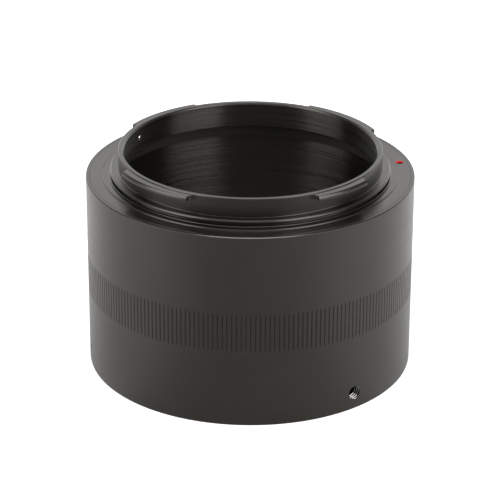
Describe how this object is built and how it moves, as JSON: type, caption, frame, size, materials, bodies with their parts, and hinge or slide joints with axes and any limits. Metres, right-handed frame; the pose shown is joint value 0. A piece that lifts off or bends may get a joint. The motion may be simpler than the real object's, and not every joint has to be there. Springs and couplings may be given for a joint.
{
  "type": "t-mount adapter",
  "caption": "Short black metal tube that joins a fine-pitch threaded lens or telescope to a camera bayonet, with a knurl band and a threaded ring held by grub screws.",
  "frame": {"origin": "centre of the foot, in the plane of the threaded ring's seat face", "axes": "+Z along the optical axis towards the bayonet, -Y is the side the picture shows"},
  "size_m": [0.064, 0.064, 0.0439],
  "materials": {
    "barrel_black": "satin black anodised, turned",
    "bayonet_black": "satin black anodised, finely turned",
    "ring_black": "satin black anodised, threaded",
    "stop_steel": "bright steel",
    "index_red": "red paint fill",
    "screw_steel": "steel, socket head"
  },
  "bodies": {
    "barrel": {"barrel": "barrel_black", "bayonet_ring": "bayonet_black", "stop_screw": "stop_steel", "index_dot": "index_red"},
    "t_ring": {"t_ring": "ring_black"},
    "grub_a": {"grub_screw_a": "screw_steel"},
    "grub_b": {"grub_screw_b": "screw_steel"},
    "grub_c": {"grub_screw_c": "screw_steel"}
  },
  "joints": [
    {"name": "t_ring_turn", "type": "hinge", "parent": "barrel", "child": "t_ring", "pos_m": [0, 0, 0.0033], "axis": [0, 0, 1], "continuous": true},
    {"name": "grub_a_travel", "type": "slide", "parent": "barrel", "child": "grub_a", "axis": [0.6307, -0.776, 0], "range_m": [0, 0.0015]},
    {"name": "grub_b_travel", "type": "slide", "parent": "barrel", "child": "grub_b", "axis": [0.3567, 0.9342, 0], "range_m": [0, 0.0015]},
    {"name": "grub_c_travel", "type": "slide", "parent": "barrel", "child": "grub_c", "axis": [-0.9874, -0.1582, 0], "range_m": [0, 0.0015]}
  ]
}
